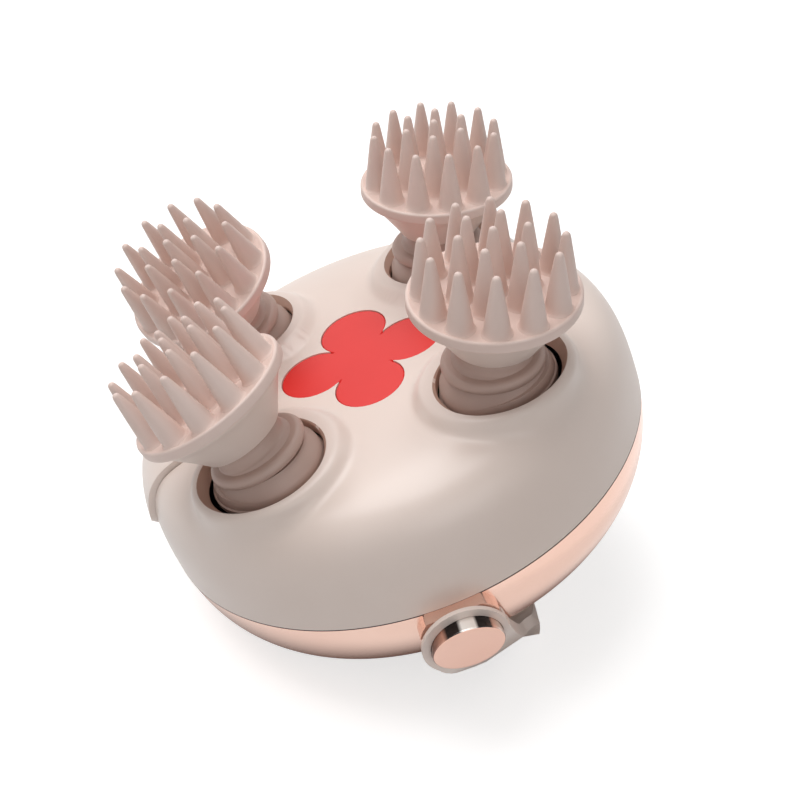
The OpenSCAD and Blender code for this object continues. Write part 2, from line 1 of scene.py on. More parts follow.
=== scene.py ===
# %% [markdown]
# # An electric scalp massager, dressed for its portrait
#
# The object is a round, pebble-shaped body in a warm blush plastic. Four heads of soft
# fingers gyrate on top, a red lit window sits between them, a rose-gold band runs round
# the waist, and a bail handle under the body doubles as its kick-stand.
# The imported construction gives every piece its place. This script loads it, puts smooth,
# finished surfaces in its place, and lights it like a small product in a studio.

import json
import math

import bmesh
import bpy
import numpy as np
from mathutils import Matrix, Vector

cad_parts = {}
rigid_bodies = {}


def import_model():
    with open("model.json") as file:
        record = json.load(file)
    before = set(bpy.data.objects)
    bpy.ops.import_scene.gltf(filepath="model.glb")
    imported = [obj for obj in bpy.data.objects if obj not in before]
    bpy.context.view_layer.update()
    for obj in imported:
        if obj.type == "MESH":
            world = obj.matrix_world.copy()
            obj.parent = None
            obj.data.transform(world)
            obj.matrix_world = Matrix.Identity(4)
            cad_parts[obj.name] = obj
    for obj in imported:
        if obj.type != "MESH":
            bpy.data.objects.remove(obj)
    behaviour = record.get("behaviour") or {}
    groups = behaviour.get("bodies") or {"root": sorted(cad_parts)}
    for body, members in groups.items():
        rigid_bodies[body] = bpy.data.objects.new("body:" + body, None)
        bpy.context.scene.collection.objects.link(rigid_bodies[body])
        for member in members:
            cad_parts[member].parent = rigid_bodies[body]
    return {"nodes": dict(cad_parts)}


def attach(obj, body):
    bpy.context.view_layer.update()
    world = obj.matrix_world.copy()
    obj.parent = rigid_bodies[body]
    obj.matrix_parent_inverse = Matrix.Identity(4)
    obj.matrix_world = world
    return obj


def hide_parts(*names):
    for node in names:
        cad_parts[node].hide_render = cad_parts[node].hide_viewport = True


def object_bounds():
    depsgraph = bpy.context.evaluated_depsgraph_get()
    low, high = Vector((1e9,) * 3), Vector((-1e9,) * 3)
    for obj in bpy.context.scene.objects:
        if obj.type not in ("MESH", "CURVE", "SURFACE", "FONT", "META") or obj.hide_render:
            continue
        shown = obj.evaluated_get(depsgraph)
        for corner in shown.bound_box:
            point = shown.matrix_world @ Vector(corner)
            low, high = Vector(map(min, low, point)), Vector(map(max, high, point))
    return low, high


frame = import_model()
cad_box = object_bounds()
print("nodes:", len(frame["nodes"]))

# %% [markdown]
# ## A drawing space for the body
#
# The massager stands tilted on its handle, but it is far easier to draw upright, in
# millimetres, with the parting plane at height zero. One matrix carries that upright
# drawing into the frame: up by the depth of the base, down to metres, then tilted.

# %% Upright drawing space
STAND_TILT = math.radians(18.95)
BASE_DEPTH = 22.0
MILLIMETRE = 0.001
UPRIGHT = (Matrix.Rotation(-STAND_TILT, 4, "Y")
           @ Matrix.Scale(MILLIMETRE, 4)
           @ Matrix.Translation((0, 0, BASE_DEPTH)))


def turn(degrees, axis):
    """A turn about one axis, in degrees."""
    return Matrix.Rotation(math.radians(degrees), 4, axis)


middle = UPRIGHT @ Vector((0, 0, 0))
print("parting plane's middle, in metres:", tuple(round(v, 4) for v in middle))

# %% [markdown]
# ## From points to pieces
#
# Every piece here is written as points and faces in the upright space and then carried
# into the frame. Most of them are turned on an axis, as a wood turner would make them,
# so one helper turns a profile and another draws the small arcs that round its edges.

# %% A mesh becomes an object that rides on a body
def built(name, points, faces):
    """An object from points in metres, with its faces turned outward."""
    mesh = bpy.data.meshes.new(name)
    mesh.from_pydata(points, [], faces)
    tool = bmesh.new()
    tool.from_mesh(mesh)
    bmesh.ops.recalc_face_normals(tool, faces=tool.faces)
    tool.to_mesh(mesh)
    tool.free()
    obj = bpy.data.objects.new(name, mesh)
    bpy.context.collection.objects.link(obj)
    return obj


def smoothed(obj, flat_angle=None):
    """Shades smooth, with a crease wherever faces meet at more than an angle."""
    obj.data.shade_smooth()
    if flat_angle is not None:
        obj.data.set_sharp_from_angle(angle=math.radians(flat_angle))


def piece(name, points, faces, body, place=Matrix.Identity(4), flat_angle=None):
    """A piece from millimetre points, placed upright and riding on a body."""
    matrix = np.array(UPRIGHT @ place)
    world = np.asarray(points, float) @ matrix[:3, :3].T + matrix[:3, 3]
    obj = built(name, world.tolist(), faces)
    smoothed(obj, flat_angle)
    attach(obj, body)
    return obj


print("pieces can be built")

# %% Turned profiles
ON_AXIS = 1e-6


def ring_faces(low, high):
    """Four-cornered faces between two closed rows of point numbers."""
    return [list(corners) for corners in
            zip(low, low[1:] + low[:1], high[1:] + high[:1], high)]


def lathe(profile, steps=96):
    """Turns a profile of (radius, height) round the upright axis; ends on the axis close."""
    points, rows = [], []
    for radius, height in profile:
        if abs(radius) < ON_AXIS:
            rows.append([len(points)] * steps)
            points.append((0, 0, height))
            continue
        rows.append(list(range(len(points), len(points) + steps)))
        for k in range(steps):
            a = 2 * math.pi * k / steps
            points.append((radius * math.cos(a), radius * math.sin(a), height))
    faces = []
    for low, high in zip(rows, rows[1:]):
        for corners in ring_faces(low, high):
            face = [c for j, c in enumerate(corners) if c not in corners[:j]]
            if len(face) > 2:
                faces.append(face)
    return points, faces


def arc(cx, cy, r, a0, a1, n=8):
    """Points along an arc of a profile, angles in degrees."""
    swing = [math.radians(a0 + (a1 - a0) * k / n) for k in range(n + 1)]
    return [(cx + r * math.cos(t), cy + r * math.sin(t)) for t in swing]


print("an arc of a quarter turn:", len(arc(0, 0, 1, 0, 90)), "points")

# %% Joining and moving parts of a piece
def joined(parts):
    """Joins several (points, faces) into one."""
    points, faces = [], []
    for p, f in parts:
        base = len(points)
        points += [tuple(v) for v in p]
        faces += [[base + i for i in face] for face in f]
    return points, faces


def moved(part, matrix):
    """A (points, faces) pair, moved by a matrix in the upright space."""
    points, faces = part
    return [tuple(matrix @ Vector(p)) for p in points], faces


print("parts can be joined and moved")

# %% [markdown]
# ## Finishes
#
# Almost everything is moulded, and moulded surfaces are never perfectly even. A fine
# grain from the mould breaks up the highlights, and a slow, faint drift in tone keeps a
# wide pale surface from looking printed. Both effects are used by several materials, so
# each is a node group, built once, with its scale and strength as inputs.

# %% An empty node group with its sockets
def new_group(name, inputs, outputs):
    """A shader node group with named inputs and outputs."""
    group = bpy.data.node_groups.new(name, "ShaderNodeTree")
    for label, kind, default in inputs:
        socket = group.interface.new_socket(label, in_out="INPUT", socket_type=kind)
        socket.default_value = default
    for label, kind in outputs:
        group.interface.new_socket(label, in_out="OUTPUT", socket_type=kind)
    return group, group.nodes.new("NodeGroupInput"), group.nodes.new("NodeGroupOutput")


# A Mix node that is set to colours keeps its sockets at these places.
MIX_SHARE, MIX_FIRST, MIX_SECOND, MIX_RESULT = 0, 6, 7, 2
print("groups can be made")

# %% Node group: mould grain
GRAIN_HEIGHT = 0.0002


def mould_grain_group():
    """A fine pebbled grain: gives a normal."""
    group, inp, out = new_group(
        "mould_grain",
        [("Scale", "NodeSocketFloat", 900.0), ("Depth", "NodeSocketFloat", 0.1)],
        [("Normal", "NodeSocketVector")])
    nodes, links = group.nodes, group.links
    coords = nodes.new("ShaderNodeTexCoord")
    noise = nodes.new("ShaderNodeTexNoise")
    noise.inputs["Detail"].default_value = 3.0
    bump = nodes.new("ShaderNodeBump")
    bump.inputs["Distance"].default_value = GRAIN_HEIGHT
    links.new(coords.outputs["Object"], noise.inputs["Vector"])
    links.new(inp.outputs["Scale"], noise.inputs["Scale"])
    links.new(noise.outputs["Fac"], bump.inputs["Height"])
    links.new(inp.outputs["Depth"], bump.inputs["Strength"])
    links.new(bump.outputs["Normal"], out.inputs["Normal"])
    return group


MOULD_GRAIN = mould_grain_group()
print("group:", MOULD_GRAIN.name)

# %% Node group: slow tone drift
DRIFT_FROM, DRIFT_TO = 0.35, 0.65


def tone_drift_group():
    """Two close tones that drift slowly into each other: gives a colour and a mask."""
    group, inp, out = new_group(
        "tone_drift",
        [("Light", "NodeSocketColor", (1, 1, 1, 1)), ("Deep", "NodeSocketColor", (0, 0, 0, 1)),
         ("Scale", "NodeSocketFloat", 30.0)],
        [("Color", "NodeSocketColor"), ("Mask", "NodeSocketFloat")])
    nodes, links = group.nodes, group.links
    coords = nodes.new("ShaderNodeTexCoord")
    noise = nodes.new("ShaderNodeTexNoise")
    noise.inputs["Detail"].default_value = 4.0
    spread = nodes.new("ShaderNodeMapRange")
    spread.inputs["From Min"].default_value = DRIFT_FROM
    spread.inputs["From Max"].default_value = DRIFT_TO
    mix = nodes.new("ShaderNodeMix")
    mix.data_type = "RGBA"
    links.new(coords.outputs["Object"], noise.inputs["Vector"])
    links.new(inp.outputs["Scale"], noise.inputs["Scale"])
    links.new(noise.outputs["Fac"], spread.inputs["Value"])
    links.new(spread.outputs["Result"], mix.inputs[MIX_SHARE])
    links.new(inp.outputs["Light"], mix.inputs[MIX_FIRST])
    links.new(inp.outputs["Deep"], mix.inputs[MIX_SECOND])
    links.new(mix.outputs[MIX_RESULT], out.inputs["Color"])
    links.new(spread.outputs["Result"], out.inputs["Mask"])
    return group


TONE_DRIFT = tone_drift_group()
print("group:", TONE_DRIFT.name)

# %% [markdown]
# ## One recipe, many finishes
#
# All finishes share one recipe and differ in their numbers: two close tones, how rough,
# how metallic, how fine the grain. The colours are written as the eye reads them, from 0
# to 255, and turned into the linear values that the shader works with.

# %% The recipe
def linear(red, green, blue):
    """A colour, given 0 to 255, as the shader's linear values."""
    return tuple(((c / 255 + 0.055) / 1.055) ** 2.4 if c > 10 else c / 255 / 12.92
                 for c in (red, green, blue)) + (1.0,)


def finish(name, light, deep, rough, rough_swing=0.05, metal=0.0, grain=900.0, depth=0.08,
           drift=30.0):
    """A Principled material: drifting tone, drifting roughness and a fine grain."""
    mat = bpy.data.materials.new(name)
    mat.use_nodes = True
    nodes, links = mat.node_tree.nodes, mat.node_tree.links
    shader = nodes["Principled BSDF"]
    tone = nodes.new("ShaderNodeGroup")
    tone.node_tree = TONE_DRIFT
    tone.inputs["Light"].default_value = light
    tone.inputs["Deep"].default_value = deep
    tone.inputs["Scale"].default_value = drift
    skin = nodes.new("ShaderNodeGroup")
    skin.node_tree = MOULD_GRAIN
    skin.inputs["Scale"].default_value = grain
    skin.inputs["Depth"].default_value = depth
    sheen = nodes.new("ShaderNodeMapRange")
    sheen.inputs["To Min"].default_value = rough - rough_swing
    sheen.inputs["To Max"].default_value = rough + rough_swing
    links.new(tone.outputs["Color"], shader.inputs["Base Color"])
    links.new(tone.outputs["Mask"], sheen.inputs["Value"])
    links.new(sheen.outputs["Result"], shader.inputs["Roughness"])
    links.new(skin.outputs["Normal"], shader.inputs["Normal"])
    shader.inputs["Metallic"].default_value = metal
    return mat


print("mid grey, linear:", round(linear(128, 128, 128)[0], 3))

# %% The finishes that show
SHELL = finish("blush_shell", linear(229, 213, 204), linear(225, 208, 198), 0.34,
               depth=0.05, drift=22.0)
SILICONE = finish("blush_silicone", linear(229, 207, 198), linear(223, 199, 189), 0.5,
                  grain=1400.0, depth=0.06)
# The boots' tone is their mauve silicone, darkened further with painted shade from under the cups.
BOOT_SKIN_AND_SHADE = finish("mauve_silicone_and_painted_shade", linear(190, 164, 153), linear(180, 153, 142), 0.5,
                   grain=1400.0, depth=0.08)
CUP_SKIN = finish("cup_plastic", linear(226, 209, 200), linear(220, 202, 192), 0.42)
ROSE_GOLD = finish("rose_gold", linear(240, 204, 188), linear(235, 196, 179), 0.24,
                   rough_swing=0.03, metal=0.85, grain=2500.0, depth=0.02)
CAP_FACE = finish("satin_rose_gold", linear(244, 198, 179), linear(239, 190, 170), 0.3,
                  rough_swing=0.03, metal=0.55, grain=2500.0, depth=0.01)
RED = finish("lit_red", linear(223, 36, 30), linear(216, 31, 25), 0.4, depth=0.02)
# Painted shade: a deeper tone on the funnels and walls inside the sockets, where shade falls.
PAINTED_SOCKET_SHADE = finish("painted_socket_shade", linear(196, 164, 148), linear(186, 152, 136), 0.55)
# Painted shade: a dark ring set in the gap between band and shell, where shade falls.
PAINTED_SEAM_SHADE = finish("painted_seam_shade", linear(70, 48, 42), linear(60, 40, 35), 0.7)
print("finishes that show:", len(bpy.data.materials))

# %% The finishes inside
STEEL = finish("plain_steel", linear(182, 184, 188), linear(170, 172, 176), 0.34, metal=1.0)
NYLON = finish("natural_nylon", linear(236, 235, 226), linear(228, 227, 218), 0.5)
BOARD = finish("green_board", linear(34, 98, 60), linear(28, 88, 54), 0.4)
DARK = finish("dark_plastic", linear(52, 52, 55), linear(44, 44, 47), 0.5)
print("all finishes so far:", len(bpy.data.materials))

# %% [markdown]
# ## The studs' polished side
#
# The side of each stud is polished like a mirror, and what it mirrors is the studio: dark
# and bright bands, side by side. A small round surface shows them so squeezed that the
# bands are steadier as a painted reflection in the finish, laid across the stud's width.

# %% Painted reflection bands
REFLECTION_BANDS_FROM, REFLECTION_BANDS_TO = -0.0119, 0.0027
PAINTED_REFLECTION_BANDS = [(0.0, (120, 76, 62)), (0.12, (205, 150, 128)), (0.17, (24, 14, 12)),
                (0.31, (30, 18, 15)), (0.36, (252, 246, 240)), (0.53, (246, 236, 228)),
                (0.57, (18, 11, 10)), (0.75, (26, 15, 12)), (0.79, (214, 160, 138)),
                (0.9, (236, 206, 190)), (1.0, (110, 66, 54))]


def painted_reflection_bands():
    """A polished side with a painted reflection: dark and bright bands across its width."""
    mat = finish("painted_reflection_bands", (1, 1, 1, 1), (0, 0, 0, 1), 0.14, rough_swing=0.03, metal=0.3,
                 grain=2500.0, depth=0.005)
    nodes, links = mat.node_tree.nodes, mat.node_tree.links
    coords = nodes.new("ShaderNodeTexCoord")
    split = nodes.new("ShaderNodeSeparateXYZ")
    across = nodes.new("ShaderNodeMapRange")
    across.inputs["From Min"].default_value = REFLECTION_BANDS_FROM
    across.inputs["From Max"].default_value = REFLECTION_BANDS_TO
    ramp = nodes.new("ShaderNodeValToRGB")
    while len(ramp.color_ramp.elements) < len(PAINTED_REFLECTION_BANDS):
        ramp.color_ramp.elements.new(0.5)
    for element, (spot, colour) in zip(ramp.color_ramp.elements, PAINTED_REFLECTION_BANDS):
        element.position = spot
        element.color = linear(*colour)
    links.new(coords.outputs["Object"], split.inputs[0])
    links.new(split.outputs["X"], across.inputs["Value"])
    links.new(across.outputs["Result"], ramp.inputs["Fac"])
    links.new(ramp.outputs["Color"], nodes["Principled BSDF"].inputs["Base Color"])
    return mat


CAP_SIDE_PAINTED_REFLECTION = painted_reflection_bands()
print("bands:", len(PAINTED_REFLECTION_BANDS))

# %% Dressing a piece
def dress(obj, material):
    """Gives a new piece its material."""
    obj.data.materials.clear()
    obj.data.materials.append(material)


print("finishes ready:", len(bpy.data.materials))

# %% [markdown]
# ## Pieces that keep their construction shape
#
# Inside the shell sit the drive, the cell and the boards. They are right as they are and
# mostly out of sight, so they keep their meshes and only get a finish.

# %% Finishes for the inner pieces
INNER = {
    "light_board": BOARD, "circuit_board": BOARD, "button_switch": DARK, "battery_cell": DARK,
    "chassis_plate": STEEL, "bearing_plate": STEEL, "drive_motor": STEEL, "base_screws": STEEL,
    "charging_port": STEEL, "drive_gear": NYLON,
    "crank_a": NYLON, "crank_b": NYLON, "crank_c": NYLON, "crank_d": NYLON,
}
for node, material in INNER.items():
    slots = frame["nodes"][node].data.materials
    slots.clear()
    slots.append(material)
print("inner pieces dressed:", len(INNER))

# %% [markdown]
# ## Where the heads are
#
# Each head sits on a crank whose pin leans a little over fifteen degrees. As the crank
# turns, the head nods round in a circle without spinning. At rest the four heads lean in
# four different directions, as caught in the photograph. The rings of fingers on each
# head are turned a little too, and by a different angle on each.

# %% Head places
HEAD_TILT = 15.4
PIVOT = {"a": (-24.25, 25.403, 25.2), "b": (-24.25, -25.403, 25.2),
         "c": (24.25, 25.403, 25.2), "d": (24.25, -25.403, 25.2)}
LEANS_TO = {"a": -124.5, "b": 150.5, "c": -11.9, "d": -21.8}
RING12_TURN = {"a": 20.1, "b": 28.6, "c": 0.5, "d": 17.2}
RING6_TURN = {"a": 35.1, "b": 43.6, "c": 15.5, "d": 2.2}


def at_head(key, share=1.0):
    """The matrix of a head's leaning axis, or of a share of its lean."""
    lean = LEANS_TO[key]
    return (Matrix.Translation(PIVOT[key]) @ turn(lean, "Z") @ turn(HEAD_TILT * share, "Y")
            @ turn(-lean, "Z"))


for key in PIVOT:
    print("head", key, "leans towards", LEANS_TO[key])

# %% [markdown]
# ## The upper shell
#
# The shell is one flowing moulding: a flat-topped dome from which four low collars swell
# round the sockets. Hard primitives would leave creases where they meet. Instead the
# dome and the collars are written as distance formulas and added with a soft blend,
# the way a potter smooths clay into a joint. Rays from the middle find that surface.

# %% The dome as a distance formula
BODY_R = 55.0
DOME_H = 24.2
DOME_POWER_R = 9.8
DOME_POWER_Z = 3.0
LEAST_SLOPE = 0.02


def dome_distance(x, y, z):
    """About the distance from the dome: below zero inside."""
    r = np.sqrt(x * x + y * y) + 1e-9
    level = (r / BODY_R) ** DOME_POWER_R + (np.abs(z) / DOME_H) ** DOME_POWER_Z
    slope = np.hypot(DOME_POWER_R * r ** (DOME_POWER_R - 1) / BODY_R ** DOME_POWER_R,
                     DOME_POWER_Z * np.abs(z) ** (DOME_POWER_Z - 1) / DOME_H ** DOME_POWER_Z)
    return (level - 1) / np.maximum(slope, LEAST_SLOPE)


print("at the dome's top:", round(float(dome_distance(0.0, 0.0, DOME_H)), 6))

# %% The collars, blended into the dome
COLLAR_TOP = 26.4
COLLAR_ROUND = 1.8
COLLAR_R = 16.4
COLLAR_BLEND = 2.4


def collar_distance(x, y, z, key):
    """The distance from one collar, an upright disc with a rounded rim."""
    px, py, _ = PIVOT[key]
    out = np.sqrt((x - px) ** 2 + (y - py) ** 2) - (COLLAR_R - COLLAR_ROUND)
    up = z - (COLLAR_TOP - COLLAR_ROUND)
    outside = np.sqrt(np.maximum(out, 0) ** 2 + np.maximum(up, 0) ** 2)
    return outside + np.minimum(np.maximum(out, up), 0) - COLLAR_ROUND


def soft_union(a, b, k):
    """The nearer of two distances, with a hollow blend of width k where they meet."""
    h = np.maximum(k - np.abs(a - b), 0) / k
    return np.minimum(a, b) - h * h * k * 0.25


def shell_distance(x, y, z):
    """The distance from the whole form, dome and collars."""
    form = dome_distance(x, y, z)
    for key in PIVOT:
        form = soft_union(form, collar_distance(x, y, z, key), COLLAR_BLEND)
    return form


print("in the middle of the body:", round(float(shell_distance(0.0, 0.0, 1.0)), 1))

# %% Rays that find the form's surface
RAY_NEAR, RAY_FAR = 10.0, 80.0
HALVINGS = 40


def shell_skin(level, around, upward):
    """Points where the form stands at a level, found by halving along rays."""
    height = DOME_H * np.sin(np.linspace(0, math.pi / 2, upward))
    reach = BODY_R * np.maximum(1 - (height / DOME_H) ** DOME_POWER_Z, 0) ** (1 / DOME_POWER_R)
    even = np.concatenate([[0], np.cumsum(np.hypot(np.diff(height), np.diff(reach)))])
    spots = np.linspace(0, even[-1], upward)
    rise = np.arctan2(np.interp(spots, even, height), np.interp(spots, even, reach))
    swing = np.linspace(0, 2 * math.pi, around, endpoint=False)
    rise, swing = np.meshgrid(rise, swing, indexing="ij")
    way = np.stack([np.cos(rise) * np.cos(swing), np.cos(rise) * np.sin(swing), np.sin(rise)])
    near, far = np.full(rise.shape, RAY_NEAR), np.full(rise.shape, RAY_FAR)
    for _ in range(HALVINGS):
        halfway = (near + far) / 2
        inside = shell_distance(*(way * halfway)) < level
        near, far = np.where(inside, halfway, near), np.where(inside, far, halfway)
    return np.moveaxis(way * near, 0, -1)


SHELL_WALL = 2.4
AROUND = 360
outer_rows = shell_skin(0.0, AROUND, 110)
inner_rows = shell_skin(-SHELL_WALL, AROUND, 60)
print("dome point at the rim:", np.round(outer_rows[0, 0], 2))
print("dome point at the top:", np.round(outer_rows[-1, 0], 2))

# %% Skins become a hollow shell
def skin_mesh(rows):
    """Faces over a grid of rings that ends in a single top point."""
    upward, around, _ = rows.shape
    points = [tuple(p) for p in rows[:-1].reshape(-1, 3)] + [tuple(rows[-1, 0])]
    rings = [list(range(i * around, (i + 1) * around)) for i in range(upward - 1)]
    faces = [face for low, high in zip(rings, rings[1:]) for face in ring_faces(low, high)]
    last, top = rings[-1], len(points) - 1
    faces += [[last[k], last[(k + 1) % around], top] for k in range(around)]
    return points, faces


def shell_solid(outer, inner):
    """Closes an outer and an inner skin with a flat rim at the parting plane."""
    outer_points, outer_faces = skin_mesh(outer)
    inner_points, inner_faces = skin_mesh(inner)
    base = len(outer_points)
    faces = outer_faces + [[base + i for i in face][::-1] for face in inner_faces]
    around = outer.shape[1]
    faces += [[k, base + k, base + (k + 1) % around, (k + 1) % around] for k in range(around)]
    return outer_points + inner_points, faces


upper = piece("shell_dome", *shell_solid(outer_rows, inner_rows), "housing")
print("shell before its openings:", len(upper.data.polygons), "faces")

# %% [markdown]
# ## Openings in the shell
#
# Four sockets, the window and the button are cut from the shell, as they would be in its
# mould. Each cutter is a plain solid that never shows. Booleans are the simplest way to
# get a clean rim where an upright hole meets a curved surface.

# %% Cutters: simple solids that are taken from a piece
def solid(name, part, place=Matrix.Identity(4)):
    """A plain helper object in the upright space, not part of the model."""
    points, faces = moved(part, place)
    return built(name, [tuple(UPRIGHT @ Vector(p)) for p in points], faces)


def carve(obj, cutter, operation="DIFFERENCE"):
    """Applies a boolean and removes the cutter."""
    mod = obj.modifiers.new("carve", "BOOLEAN")
    mod.operation = operation
    mod.solver = "EXACT"
    mod.object = cutter
    graph = bpy.context.evaluated_depsgraph_get()
    result = bpy.data.meshes.new_from_object(obj.evaluated_get(graph))
    obj.modifiers.remove(mod)
    obj.data = result
    bpy.data.objects.remove(cutter)


def prism(outline, low, high):
    """A solid between two heights over a closed outline of (x, y)."""
    n = len(outline)
    points = [(x, y, low) for x, y in outline] + [(x, y, high) for x, y in outline]
    bottom, top = list(range(n)), list(range(n, 2 * n))
    return points, [bottom[::-1], top] + ring_faces(bottom, top)


print("a prism over a triangle:", len(prism([(0, 0), (1, 0), (0, 1)], 0, 1)[1]), "faces")

# %% Outlines of the window and the button
LOBE_R = 7.65
LOBE_D = 10.7
BUTTON_SIDE = 22.0
BUTTON_CORNER = 4.5
BUTTON_GAP = 0.3


def four_lobes(grow, n=24):
    """The window's outline: four round lobes that meet in four notches."""
    r = LOBE_R + grow
    notch = LOBE_D / math.sqrt(2)
    half = math.degrees(math.acos(notch / r)) if r > notch else 0
    points = []
    for k in range(4):
        a = 90 * k
        cx, cy = LOBE_D * math.cos(math.radians(a)), LOBE_D * math.sin(math.radians(a))
        points += arc(cx, cy, r, a - 135 + half, a + 135 - half, n)
    return points


def round_square(side, r):
    """A square with round corners."""
    reach = side / 2 - r
    corners = [(reach, reach, 0), (-reach, reach, 90), (-reach, -reach, 180), (reach, -reach, 270)]
    return [p for cx, cy, a in corners for p in arc(cx, cy, r, a, a + 90)]


print("window outline points:", len(four_lobes(0)))

# %% Sockets, window and button are cut
SOCKET_R = 12.2
BUTTON_AT = (-48.2, 0, 18.3)
BUTTON_LEAN = 47.5
at_button = Matrix.Translation(BUTTON_AT) @ turn(-BUTTON_LEAN, "Y")

socket = lathe([(0, 14), (SOCKET_R, 14), (SOCKET_R, 40), (0, 40)], 96)
cuts = [moved(socket, Matrix.Translation((px, py, 0))) for px, py, _ in PIVOT.values()]
cuts.append(prism(four_lobes(0.0), 20, 32))
button_hole = round_square(BUTTON_SIDE + 2 * BUTTON_GAP, BUTTON_CORNER + BUTTON_GAP)
cuts.append(moved(prism(button_hole, -9, 9), at_button))
carve(upper, solid("holes", joined(cuts)))
print("shell with its holes:", len(upper.data.polygons), "faces")

# %% The sockets' mouths open outward
MOUTH_SHIFT = 1.3
MOUTH_R = SOCKET_R + MOUTH_SHIFT + 0.2
MOUTH_D = 4.6
MOUTH_OVER = 2
MOUTH_SLOPE = (MOUTH_R - SOCKET_R + MOUTH_SHIFT + 0.4) / MOUTH_D

mouth = lathe([(0, -MOUTH_D), (MOUTH_R - MOUTH_SLOPE * MOUTH_D, -MOUTH_D),
               (MOUTH_R + MOUTH_SLOPE * MOUTH_OVER, MOUTH_OVER), (0, MOUTH_OVER)], 128)
funnels = []
for px, py, _ in PIVOT.values():
    outward = (Matrix.Translation((px, py, COLLAR_TOP))
               @ turn(math.degrees(math.atan2(py, px)), "Z"))
    funnels.append(moved(mouth, outward @ Matrix.Translation((MOUTH_SHIFT, 0, 0))))
carve(upper, solid("mouths", joined(funnels)))
smoothed(upper, 32)
print("shell with its mouths:", len(upper.data.polygons), "faces")

# %% The shell's finish, with painted shade inside the sockets
SHADE_REACH = 15.1
TO_UPRIGHT = np.array(UPRIGHT.inverted())

dress(upper, SHELL)
# The second material paints shade onto the faces inside the sockets.
upper.data.materials.append(PAINTED_SOCKET_SHADE)
shaded = 0
for face in upper.data.polygons:
    x, y, z = TO_UPRIGHT[:3, :3] @ np.array(face.center) + TO_UPRIGHT[:3, 3]
    below = COLLAR_TOP - z
    for px, py, _ in PIVOT.values():
        off = math.hypot(x - px, y - py)
        if off < SHADE_REACH and below > 0.02 and (off < SOCKET_R + 0.2 or below > 0.2):
            face.material_index = 1
            shaded += 1
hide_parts("upper_shell")
print("faces in the sockets:", shaded)

# %% [markdown]
# ## The window and the button
#
# The window is a lens of red plastic in the plain four-lobed shape of a quatrefoil, let
# into the top between the heads. The power button is a pad cut from the shoulder of the
# shell itself: the same curve, a little proud, with a hairline gap all round.

# %% The window's lens
LENS_LOW = 21.4
LENS_HIGH = DOME_H - 0.15
LENS_CHAMFER = 0.25


def lens_part():
    """A flat lens with a small chamfer round its face."""
    outline, inset_outline = four_lobes(-0.07), four_lobes(-0.3)
    n = len(outline)
    points = [(x, y, LENS_LOW) for x, y in outline]
    points += [(x, y, LENS_HIGH - LENS_CHAMFER) for x, y in outline]
    points += [(x, y, LENS_HIGH) for x, y in inset_outline]
    low, edge, top = (list(range(row * n, (row + 1) * n)) for row in range(3))
    return points, [low[::-1], top] + ring_faces(low, edge) + ring_faces(edge, top)


window = piece("window_lens", *lens_part(), "housing", flat_angle=25)
dress(window, RED)
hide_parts("light_window")
print("lens faces:", len(window.data.polygons))

# %% The power button
BUTTON_PROUD = 1.2
BUTTON_WALL = SHELL_WALL + 0.6
SOFT_EDGE = 0.0004


def soften(obj, angle, harden=False):
    """Rounds every edge that is sharper than an angle."""
    soft = obj.modifiers.new("soft_edge", "BEVEL")
    soft.width = SOFT_EDGE
    soft.segments = 3
    soft.limit_method = "ANGLE"
    soft.angle_limit = math.radians(angle)
    soft.harden_normals = harden


pad_rows = shell_skin(BUTTON_PROUD, 240, 80)
under_rows = shell_skin(-BUTTON_WALL, 240, 50)
button = piece("button_pad", *shell_solid(pad_rows, under_rows), "button")
button_edge = prism(round_square(BUTTON_SIDE, BUTTON_CORNER), -7, 9)
carve(button, solid("button_edge", button_edge, at_button), "INTERSECT")
soften(button, 50)
smoothed(button)
dress(button, SHELL)
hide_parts("power_button")
print("button faces:", len(button.data.polygons))

# %% [markdown]
# ## The lower half
#
# Under the parting line the body rounds in to a flat base. The upper part of that curve
# is the rose-gold band, and below it comes the base cover in the shell's own plastic. A
# fine line of painted shade parts band and shell: a dark ring lies just under the surface
# in the gap between them. Where band and cover meet, each edge gets a tiny slanted corner.

# %% The curve of the lower half
LOWER_WALL = 2.4
BAND_H = 16.0
EDGE = 0.25
SEAM = 0.22
BASE_CURVE_R = BODY_R - 0.2
BASE_CURVE_H = BASE_DEPTH + 1


def base_r(z):
    """The body's radius at a height under the parting plane."""
    return BASE_CURVE_R * (1 - (z / BASE_CURVE_H) ** 2) ** (1 / 6)


def curve_down(z0, z1, inset, n):
    """A profile along that curve from one height to another."""
    heights = [z0 + (z1 - z0) * k / n for k in range(n + 1)]
    return [(base_r(z) - inset, z) for z in heights]


print("radius at the band's foot:", round(base_r(-BAND_H), 2))

# %% Band and seam
SEAM_DEPTH = 2.0
SEAM_FLUSH = 0.02

band_profile = ([(base_r(0) - LOWER_WALL, -SEAM), (base_r(0) - 0.1, -SEAM)]
                + curve_down(-SEAM - 0.1, EDGE - BAND_H, 0, 24)
                + [(base_r(-BAND_H) - EDGE, -BAND_H)]
                + curve_down(-BAND_H, -SEAM, LOWER_WALL, 12))
band = piece("waist_band", *lathe(band_profile, 192), "housing", flat_angle=40)
dress(band, ROSE_GOLD)
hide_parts("rose_band")

# The seam ring is painted shade, dark in the gap under the parting line.
seam_low, seam_high = -SEAM - 0.1, -0.01
seam_profile = [(BODY_R - SEAM_DEPTH, seam_low), (BODY_R - SEAM_FLUSH, seam_low),
                (BODY_R - SEAM_FLUSH, seam_high), (BODY_R - SEAM_DEPTH, seam_high),
                (BODY_R - SEAM_DEPTH, seam_low)]
seam = piece("painted_shade_seam_ring", *lathe(seam_profile, 192), "housing", flat_angle=40)
dress(seam, PAINTED_SEAM_SHADE)
print("band faces:", len(band.data.polygons))

# %% Base cover with its screw wells
COVER_INSIDE = 3 - BASE_DEPTH
WELL_R = 3
WELL_OUT = 38

